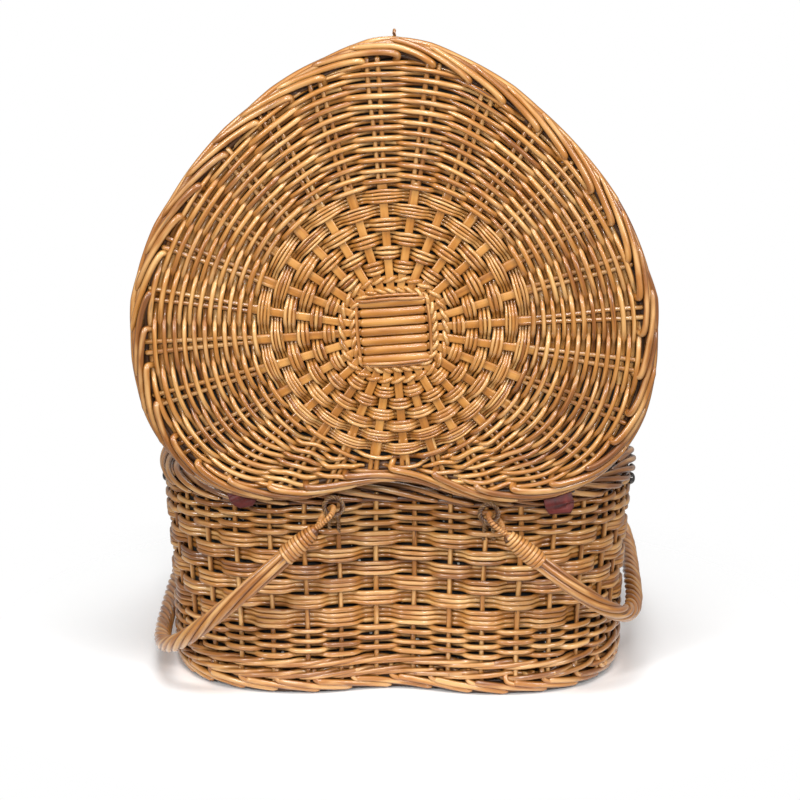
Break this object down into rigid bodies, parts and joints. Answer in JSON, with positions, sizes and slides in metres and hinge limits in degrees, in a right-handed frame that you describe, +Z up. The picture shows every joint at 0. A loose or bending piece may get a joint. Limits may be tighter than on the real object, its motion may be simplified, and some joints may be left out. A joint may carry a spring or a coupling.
{
  "type": "wicker picnic basket",
  "caption": "Heart-shaped woven willow picnic basket with a hinged lid standing open and two swing handles.",
  "frame": {"origin": "on the floor, under the middle of the basket's box with the handles down and the lid open", "axes": "+Z up, +Y from the hinge side with the notch towards the heart's tip, +X to the right seen from the hinge side"},
  "size_m": [0.43, 0.417, 0.5627],
  "materials": {
    "willow": "buff willow, semi-gloss varnish",
    "willow_pale": "pale buff willow, semi-gloss varnish",
    "cane": "split cane, glossy skin side out",
    "leather": "burgundy leatherette, low sheen",
    "lining": "dark woven check cotton",
    "steel": "polished nickel"
  },
  "bodies": {
    "basket": {"foot_border": "willow", "base_slath": "willow_pale", "base_sticks": "willow_pale", "base_mat": "willow", "bottom_wale": "willow", "lower_randing": "willow", "slew_band": "willow", "upper_randing": "willow", "side_stakes": "willow_pale", "top_border": "willow", "lining": "lining", "ring_left_back": "cane", "ring_left_front": "cane", "ring_right_back": "cane", "ring_right_front": "cane", "hinge_strap_left": "leather", "hinge_strap_right": "leather", "stay_studs": "steel", "stay_strap_left": "leather", "stay_strap_right": "leather", "latch_loops": "cane"},
    "lid": {"lid_slath": "willow_pale", "lid_binders": "cane", "lid_sticks": "willow_pale", "lid_pairing": "willow_pale", "lid_slewing": "willow", "lid_randing": "willow", "lid_border": "willow", "lid_lining": "lining", "hinge_rods": "steel", "lid_loop": "cane"},
    "handle_left": {"left_rope": "willow", "left_bindings": "willow_pale", "left_eyes": "cane"},
    "handle_right": {"right_rope": "willow", "right_bindings": "willow_pale", "right_eyes": "cane"},
    "peg": {"latch_peg": "willow_pale"}
  },
  "joints": [
    {"name": "lid_hinge", "type": "hinge", "parent": "basket", "child": "lid", "pos_m": [0, -0.173, 0.182], "axis": [-1, 0, 0], "range_deg": [0, 91], "deforming": ["stay_strap_left", "stay_strap_right"]},
    {"name": "left_handle_swing", "type": "hinge", "parent": "basket", "child": "handle_left", "pos_m": [-0.05, 0, 0.168], "axis": [0, 1, 0], "range_deg": [0, 43]},
    {"name": "right_handle_swing", "type": "hinge", "parent": "basket", "child": "handle_right", "pos_m": [0.078, 0, 0.163], "axis": [0, -1, 0], "range_deg": [0, 39]},
    {"name": "peg_slide", "type": "slide", "parent": "basket", "child": "peg", "axis": [-1, 0, 0], "range_m": [0, 0.02]}
  ]
}
